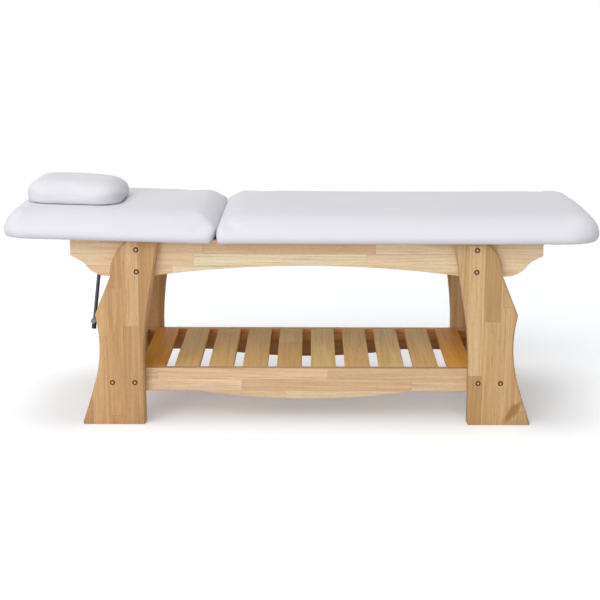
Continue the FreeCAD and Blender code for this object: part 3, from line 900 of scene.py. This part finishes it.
class Tree:
    """A Geometry Nodes tree that sets one small form at many points."""

    def __init__(self, name, sizes):
        self.tree = bpy.data.node_groups.new(name, "GeometryNodeTree")
        socket = self.tree.interface.new_socket
        socket("Geometry", in_out="INPUT", socket_type="NodeSocketGeometry")
        for label, (kind, value) in sizes.items():
            made = socket(label, in_out="INPUT", socket_type=kind)
            if value is not None:
                made.default_value = value
        socket("Geometry", in_out="OUTPUT", socket_type="NodeSocketGeometry")
        self.entry = self.tree.nodes.new("NodeGroupInput")

    def node(self, kind, settings=None, sockets=None):
        made = self.tree.nodes.new(kind)
        for name, value in (settings or {}).items():
            setattr(made, name, value)
        for key, value in (sockets or {}).items():
            if isinstance(value, bpy.types.NodeSocket):
                self.tree.links.new(value, made.inputs[key])
            else:
                made.inputs[key].default_value = value
        return made

    def end(self, geometry, material):
        real = self.node("GeometryNodeRealizeInstances", None, {"Geometry": geometry})
        done = self.node("GeometryNodeSetMaterial", None,
                         {"Geometry": real.outputs[0], "Material": material})
        out = self.tree.nodes.new("NodeGroupOutput")
        self.tree.links.new(done.outputs[0], out.inputs[0])


def repeat(name, spots, form, material, size, seed, spin):
    """The small form set at each spot, which gives a place, a heading and a scale."""
    carrier = mesh_from(name + "_spots", [s[0] for s in spots], [])
    heading = carrier.attributes.new("heading", "FLOAT_VECTOR", "POINT")
    heading.data.foreach_set("vector", np.array([s[1] for s in spots], np.float32).ravel())
    piece = new_object(name, carrier)
    stamp = new_object(name + "_stamp", form)
    tree = Tree(name + "_set", {
        "Size": ("NodeSocketFloat", size), "Spin": ("NodeSocketFloat", spin),
        "Seed": ("NodeSocketInt", seed), "Form": ("NodeSocketObject", None)})
    given = tree.entry.outputs
    points = tree.node("GeometryNodeMeshToPoints", None, {"Mesh": given["Geometry"]})
    facing = tree.node("GeometryNodeInputNamedAttribute", {"data_type": "FLOAT_VECTOR"},
                       {"Name": "heading"})
    aligned = tree.node("FunctionNodeAlignRotationToVector", {"axis": "Z"},
                        {"Vector": facing.outputs[0]})
    turned = tree.node("FunctionNodeRandomValue", {"data_type": "FLOAT"},
                       {3: given["Spin"], "Seed": given["Seed"]})
    spun = tree.node("FunctionNodeAxisAngleToRotation", None,
                     {"Axis": (0.0, 0.0, 1.0), "Angle": turned.outputs[1]})
    both = tree.node("FunctionNodeRotateRotation", {"rotation_space": "LOCAL"},
                     {"Rotation": aligned.outputs[0], "Rotate By": spun.outputs[0]})
    shape = tree.node("GeometryNodeObjectInfo", None, {"Object": given["Form"]})
    placed = tree.node("GeometryNodeInstanceOnPoints", None, {
        "Points": points.outputs[0], "Instance": shape.outputs["Geometry"],
        "Rotation": both.outputs[0], "Scale": given["Size"]})
    tree.end(placed.outputs[0], material)
    modifier = piece.modifiers.new("Set", "NODES")
    modifier.node_group = tree.tree
    wanted = {"Size": size, "Spin": spin, "Seed": seed, "Form": stamp}
    for item in tree.tree.interface.items_tree:
        if item.in_out == "INPUT" and item.name in wanted:
            modifier[item.identifier] = wanted[item.name]
    settled(piece)
    bpy.data.objects.remove(stamp)
    return shaded(piece, 30.0)


def lathed(rings, sides=18):
    """A turned form about Z from (radius, height, corners, recess) rings, outermost ring first; the
    recess mark picks out the points that get a painted reflection.
    """
    form = bmesh.new()
    loops = []
    recess = form.verts.layers.float.new("recess")
    for radius, height, corners, painted_light in rings:
        loop = []
        for i in range(sides):
            angle = 2 * math.pi * i / sides
            reach = radius
            if corners:
                half = math.pi / corners
                reach = radius * math.cos(half) / math.cos((angle + half) % (2 * half) - half)
            spot = form.verts.new((reach * math.cos(angle), reach * math.sin(angle), height))
            spot[recess] = painted_light
            loop.append(spot)
        loops.append(loop)
    for first, second in zip(loops, loops[1:]):
        join_rings(form, first, second)
    form.faces.new(loops[0][::-1])
    form.faces.new(loops[-1])
    return mesh_of("turned", form)


def bolt_head_form():
    """A low button head with a hexagon socket, one unit across its radius."""
    return lathed([
        (1.00, 0.00, 0, 0), (1.00, 0.10, 0, 0), (0.94, 0.20, 0, 0), (0.80, 0.29, 0, 0),
        (0.56, 0.33, 0, 0), (0.47, 0.32, 6, 0), (0.45, 0.16, 6, 1), (0.24, 0.12, 6, 1)])


def nut_form():
    """A flanged dome nut, one unit across its radius."""
    return lathed([
        (1.00, 0.00, 0, 0), (1.00, 0.12, 0, 0), (0.74, 0.18, 6, 0), (0.74, 0.66, 6, 0),
        (0.58, 0.74, 0, 0), (0.50, 1.00, 0, 0), (0.30, 1.16, 0, 0), (0.10, 1.20, 0, 0)])


def staple_form():
    """A flat wire staple driven home: crown and two bent shoulders, one unit long."""
    form = bmesh.new()
    path = [(-0.5, -0.06), (-0.5, 0.03), (-0.44, 0.09), (0.44, 0.09), (0.5, 0.03), (0.5, -0.06)]
    half, thick = 0.055, 0.05
    rings = []
    for x, z in path:
        inner_x, inner_z = x * (1 - 2 * thick), z - thick
        rings.append([form.verts.new(p) for p in (
            (x, -half, z), (x, half, z), (inner_x, half, inner_z), (inner_x, -half, inner_z))])
    for first, second in zip(rings, rings[1:]):
        join_rings(form, first, second)
    form.faces.new(rings[0][::-1])
    form.faces.new(rings[-1])
    bmesh.ops.recalc_face_normals(form, faces=form.faces)
    return mesh_of("staple", form)


def spaced(low, high, step):
    """Places from low to high, about a step apart."""
    count = int((high - low) / step)
    return [low + (high - low) * i / count for i in range(count + 1)]


# Stage

def floor_paint(sizes):
    """Paint that the camera sees paler than it lights the bed, and that is clear from below."""
    finish = Finish("studio_floor")
    seen = finish.seen()
    colour = finish.mix(seen, tuple(sizes.floor_colour), tuple(sizes.floor_seen))
    matt = finish.node("ShaderNodeBsdfDiffuse", None, {"Color": colour})
    glow = finish.node("ShaderNodeEmission", None,
                       {"Color": (0.86, 0.93, 1.0, 1.0), "Strength": seen * sizes.floor_glow})
    solid = finish.node("ShaderNodeAddShader", None, {0: matt, 1: glow})
    clear = finish.node("ShaderNodeBsdfTransparent")
    below = finish.node("ShaderNodeNewGeometry", output="Backfacing")
    return finish.end(finish.node("ShaderNodeMixShader", None, {0: below, 1: solid, 2: clear}))


def studio_world(strength):
    """Even light of this strength from all round, white where the camera sees it."""
    finish = Finish("studio", world=True)
    back = finish.node("ShaderNodeBackground", None, {
        "Color": (1.0, 1.0, 1.0, 1.0), "Strength": finish.ramp(finish.seen(), 0.0, 1.0, strength)})
    return finish.end(back, "World")


def light(name, kind, energy, aim):
    """A lamp that shines from the side to which aim points."""
    lamp = bpy.data.lights.new(name, kind)
    lamp.energy = energy
    holder = new_object(name, lamp)
    holder.rotation_euler = aim.to_track_quat("Z", "Y").to_euler()
    return holder


# Operators

class BED_OT_studio(bpy.types.Operator):
    """Floor, soft light and the camera"""
    bl_idname = "bed.studio"
    bl_label = "Studio"

    def execute(self, context):
        sizes = context.scene.bed_stage
        scene = context.scene
        scene.view_settings.view_transform = "Standard"
        corners = [(-30, -30, 0), (30, -30, 0), (30, 60, 0), (-30, 60, 0)]
        floor = new_piece("floor", mesh_from("floor", corners, [(0, 1, 2, 3)]), floor_paint(sizes))
        scene.world = studio_world(sizes.sky)
        for name, strength, spread, aim in (
                ("front_light", sizes.front, 60.0, (-0.16, -0.50, 0.27)),
                ("top_light", sizes.above, 32.0, (-0.02, 0.06, 1.0))):
            light(name, "SUN", strength, Vector(aim)).data.angle = math.radians(spread)
        large = light("head_light", "AREA", sizes.head_side, HEAD_LIGHT_PLACE - HEAD_LIGHT_AIM)
        large.location = HEAD_LIGHT_PLACE
        large.data.size = 2.4
        lens = bpy.data.cameras.new("camera")
        lens.sensor_width = 36.0
        lens.lens = CAMERA_LENS
        camera = new_object("camera", lens)
        camera.location = CAMERA_PLACE
        camera.rotation_euler = (math.radians(90 - CAMERA_DIP), 0.0, math.radians(CAMERA_TURN))
        scene.camera = camera
        return {"FINISHED"}


class BED_OT_timber(bpy.types.Operator):
    """Legs, rails, ledgers, slats and racks in edge-glued rubberwood"""
    bl_idname = "bed.timber"
    bl_label = "Timber frame and shelf"

    def execute(self, context):
        sizes = context.scene.bed_timber
        leg, rail, low_rail, slat, painted_light = (tuple(tone) for tone in (
            sizes.leg_tone, sizes.side_rail_tone, sizes.shelf_rail_tone, sizes.slat_tone,
            sizes.inner_face_shade))
        width, length = sizes.stave_width, sizes.stave_length
        rail_staves = (width * 0.72, length * 1.3, SHELF_RAIL_FOOT)
        one_stave = (SLAT_STEP, 3.0, FIRST_SLAT)
        legs = timber("leg_timber", "Z", "X", leg, width, length, 0.005)
        foot_legs = timber("foot_leg_timber", "Z", "X", toned(leg, 1.03, 1.11, 1.13),
                           width, length, 0.005, knot=KNOT_PLACE)
        # the rails carry painted shade on their inner faces
        rails = timber("rail_timber", "X", "Z", rail, *rail_staves, painted_light=painted_light)
        low_rails = timber("shelf_rail_timber", "X", "Z", low_rail, *rail_staves, painted_light=painted_light)
        crossing = timber("cross_rail_timber", "Y", "Z", toned(low_rail, 0.92, 0.86, 0.78),
                          width, length)
        slats = timber("slat_timber", "Y", "X", slat, *one_stave, 0.08, figure=0.6)
        # painted light: the end slats beside the legs get a warmer, more orange copy of the slat
        # tone that stands for light bounced off the legs
        bounce_lit_end_slats = timber("end_slat_timber", "Y", "X", toned(slat, 0.98, 0.76, 0.36),
                           *one_stave, 0.08)
        # painted shade: the ledgers under the slats get a darker copy of the slat tone that stands
        # for the shade inside the shelf
        shade_dark_ledgers = timber("ledger_timber", "X", "Y", toned(slat, 0.62, 0.48, 0.38),
                         width, length * 1.5, 0.0, 0.10)
        racks = timber("rack_timber", "X", "Z", toned(leg, 0.95, 0.9, 0.85), width, length * 2.0)
        shelf = sorted(nodes_named("shelf_slat"), key=lambda n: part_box(n)[0].x)
        own_wood = {"leg_front_foot": foot_legs, "leg_rear_foot": foot_legs,
                    shelf[0]: bounce_lit_end_slats, shelf[-1]: bounce_lit_end_slats}
        for nodes, radius, wood in (
                (nodes_named("leg_front", "leg_rear"), sizes.leg_round, legs),
                (nodes_named("side_rail"), sizes.edge_round, rails),
                (nodes_named("shelf_rail"), sizes.edge_round, low_rails),
                (nodes_named("cross_rail", "shelf_end_rail"), sizes.edge_round, crossing),
                (shelf, sizes.edge_round, slats),
                (nodes_named("slat_ledger"), sizes.edge_round * 0.7, shade_dark_ledgers)):
            for node in nodes:
                eased_copy(node, radius, own_wood.get(node, wood))
        for node in nodes_named("prop_rack"):
            eased_copy(node, sizes.edge_round * 0.5, racks, 2)
        return {"FINISHED"}


class BED_OT_pads(bpy.types.Operator):
    """The two padded sections and the boards inside them"""
    bl_idname = "bed.pads"
    bl_label = "Padded sections"

    def execute(self, context):
        cover = context.scene.bed_cover
        white = upholstery("cover_leatherette", tuple(cover.colour), cover.pebble)
        ply = panel_ply("board_ply")
        leg_pad = padded_section("leg_section_pad", LEG_SECTION, white, cover.foot_corner,
                                 cover.foot_bow, 0.006)
        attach(leg_pad, "base")
        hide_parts("leg_section_cushion")
        low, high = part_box("pillow")
        back_pad = padded_section("back_section_pad", BACK_SECTION, white, cover.head_corner,
                                  cover.head_bow, cover.hinge_lean, (low.x + high.x) / 2)
        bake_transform(back_pad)
        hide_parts("back_section_cushion")
        leg_board = section_board("leg_section_ply", LEG_SECTION, ply)
        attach(leg_board, "base")
        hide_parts("leg_section_board")
        back_board = section_board("back_section_ply", BACK_SECTION, ply)
        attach(back_board, "back_section")
        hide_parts("back_section_board")
        return {"FINISHED"}


class BED_OT_pillow(bpy.types.Operator):
    """The loose head pillow"""
    bl_idname = "bed.pillow"
    bl_label = "Pillow"

    def execute(self, context):
        cover = context.scene.bed_cover
        white = upholstery("pillow_leatherette", tuple(cover.colour), cover.pebble)
        low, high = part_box("pillow")
        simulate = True
        shrink = cover.swell * 0.8 if simulate else 0.0
        size = [s - shrink for s in PILLOW_SIZE]
        cells = [44, 44, 12]
        grid, quads = box_skin(cells)
        points = padded_form(grid / np.array(cells, float), size, *PILLOW_FORM)
        points = relaxed(points, quads, np.full(len(points), 0.2))
        piece = new_piece("pillow_cover", mesh_from("pillow_cover", points, quads), white)
        if simulate:
            filled(piece, cover.swell, np.clip(1 - (points[:, 2] - 0.004) / 0.008, 0.0, 1.0))
        points = points_of(piece.data)
        along = points[:, 0] / (PILLOW_SIZE[0] / 2)
        across = points[:, 1] / (PILLOW_SIZE[1] / 2)
        # higher towards the head, and drawn in between the corners
        points[:, 2] *= 1 - PILLOW_TAPER * along
        points[:, 0] *= 1 - 0.012 * (1 - across ** 2)
        points[:, 1] *= 1 - 0.014 * (1 - along ** 2)
        place = np.array([(low.x + high.x) / 2 - 0.002, 0.0, low.z + 0.0045])
        move_points(piece, tilted(points, REST_SLOPE) + place)
        shaded(refined(piece))
        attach(piece, "pillow")
        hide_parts("pillow")
        return {"FINISHED"}


class BED_OT_bolts(bpy.types.Operator):
    """Socket bolt heads on the legs and dome nuts inside the rails"""
    bl_idname = "bed.bolts"
    bl_label = "Bolts and nuts"

    def execute(self, context):
        sizes = context.scene.bed_metal
        # painted reflection: the bolts' hex sockets are coloured lighter
        bronze = metal("bolt_bronze", tuple(sizes.bolt_colour), 0.42, recess=(0.40, 0.33, 0.25))
        steel = metal("nut_zinc", (0.62, 0.60, 0.58), 0.34)
        face = abs(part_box("leg_front_foot")[0].y)
        spots = [(x, side, z) for x, z in BOLT_PLACES for side in (-1, 1)]
        heads = [((x, side * face, z), (0.0, side, 0.0)) for x, side, z in spots]
        nuts = [((x, side * RAIL_INNER_FACE, z), (0.0, -side, 0.0))
                for x, side, z in spots if z > NUTS_ABOVE]
        head_set = repeat("bolt_heads", heads, bolt_head_form(), bronze, BOLT_RADIUS, 7, 1.05)
        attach(head_set, "base")
        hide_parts("leg_bolt_heads")
        nut_set = repeat("rail_nuts", nuts, nut_form(), steel, NUT_RADIUS, 11, 1.05)
        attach(nut_set, "base")
        return {"FINISHED"}


class BED_OT_staples(bpy.types.Operator):
    """Staples that hold the folded cover to the underside of the boards"""
    bl_idname = "bed.staples"
    bl_label = "Staples"

    def execute(self, context):
        sizes = context.scene.bed_metal
        steel = metal("staple_zinc", (0.60, 0.60, 0.60), 0.30)
        for name, section, body in (
                ("leg_section_staples", LEG_SECTION, "base"),
                ("back_section_staples", BACK_SECTION, "back_section")):
            start, way, length, slope = section
            half = HALF_WIDTH - BOARD_CORNER
            spots = [(x, side * (HALF_WIDTH - STAPLE_INSET)) for side in (-1, 1)
                     for x in spaced(STAPLE_INSET + 0.01, length - BOARD_CORNER, sizes.staple_step)]
            spots += [(length - STAPLE_INSET, y) for y in spaced(-half, half, sizes.staple_step)]
            turn = Matrix.Rotation(slope, 3, "Y")
            down = turn @ Vector((0.0, 0.0, -1.0))
            placed = []
            for x, y in spots:
                spot = Vector((start + way * x, y, SOLE_HEIGHT - 0.0010))
                placed.append((turn @ (spot - HINGE) + HINGE, down))
            piece = repeat(name, placed, staple_form(), steel, STAPLE_WIDTH, 3, 0.9)
            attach(piece, body)
        return {"FINISHED"}


class BED_OT_back_lift(bpy.types.Operator):
    """Hinges, prop, brackets and bumpers of the lifting back"""
    bl_idname = "bed.back_lift"
    bl_label = "Back lift fittings"

    def execute(self, context):
        sizes = context.scene.bed_metal
        zinc = metal("fitting_zinc", (0.60, 0.59, 0.57), 0.36)
        rod = metal("rod_plated", tuple(sizes.rod_colour), 0.24)
        plastic = moulded("cap_black", (0.025, 0.025, 0.028), 0.42)
        grey = moulded("cap_grey", (0.22, 0.22, 0.225), 0.38)
        rubber = moulded("bumper_rubber", (0.03, 0.03, 0.032), 0.68, 900.0)
        for node in nodes_named("hinge_", "prop_pivot", "prop_brackets"):
            dress(node, zinc)
        dress("prop_frame", rod)
        dress("prop_arm_caps", plastic)
        dress("prop_bar_caps", grey)
        dress("rest_bumpers", rubber)
        return {"FINISHED"}


class BED_PT_dressing(bpy.types.Panel):
    """Lists the steps that dress the bed."""
    bl_label = "Treatment bed"
    bl_idname = "BED_PT_dressing"
    bl_space_type = "VIEW_3D"
    bl_region_type = "UI"
    bl_category = "Bed"

    def draw(self, context):
        for step in STEPS:
            self.layout.operator(step.bl_idname)
        for group in GROUPS.values():
            box = self.layout.box()
            for name in group[1].__annotations__:
                box.prop(getattr(context.scene, group[0]), name)


GROUPS = {
    "timber": ("bed_timber", TimberSizes),
    "cover": ("bed_cover", CoverSizes),
    "metal": ("bed_metal", MetalSizes),
    "stage": ("bed_stage", StageSizes),
}
STEPS = (BED_OT_studio, BED_OT_timber, BED_OT_pads, BED_OT_pillow, BED_OT_bolts,
         BED_OT_staples, BED_OT_back_lift)


def register():
    for name, group in GROUPS.values():
        bpy.utils.register_class(group)
        setattr(bpy.types.Scene, name, bpy.props.PointerProperty(type=group))
    for step in STEPS:
        bpy.utils.register_class(step)
    bpy.utils.register_class(BED_PT_dressing)


def unregister():
    bpy.utils.unregister_class(BED_PT_dressing)
    for step in reversed(STEPS):
        bpy.utils.unregister_class(step)
    for name, group in GROUPS.values():
        delattr(bpy.types.Scene, name)
        bpy.utils.unregister_class(group)


def main():
    register()
    bpy.ops.bed.studio()
    bpy.ops.bed.timber()
    bpy.ops.bed.pads()
    bpy.ops.bed.pillow()
    bpy.ops.bed.bolts()
    bpy.ops.bed.staples()
    bpy.ops.bed.back_lift()


if __name__ == "__main__":
    main()
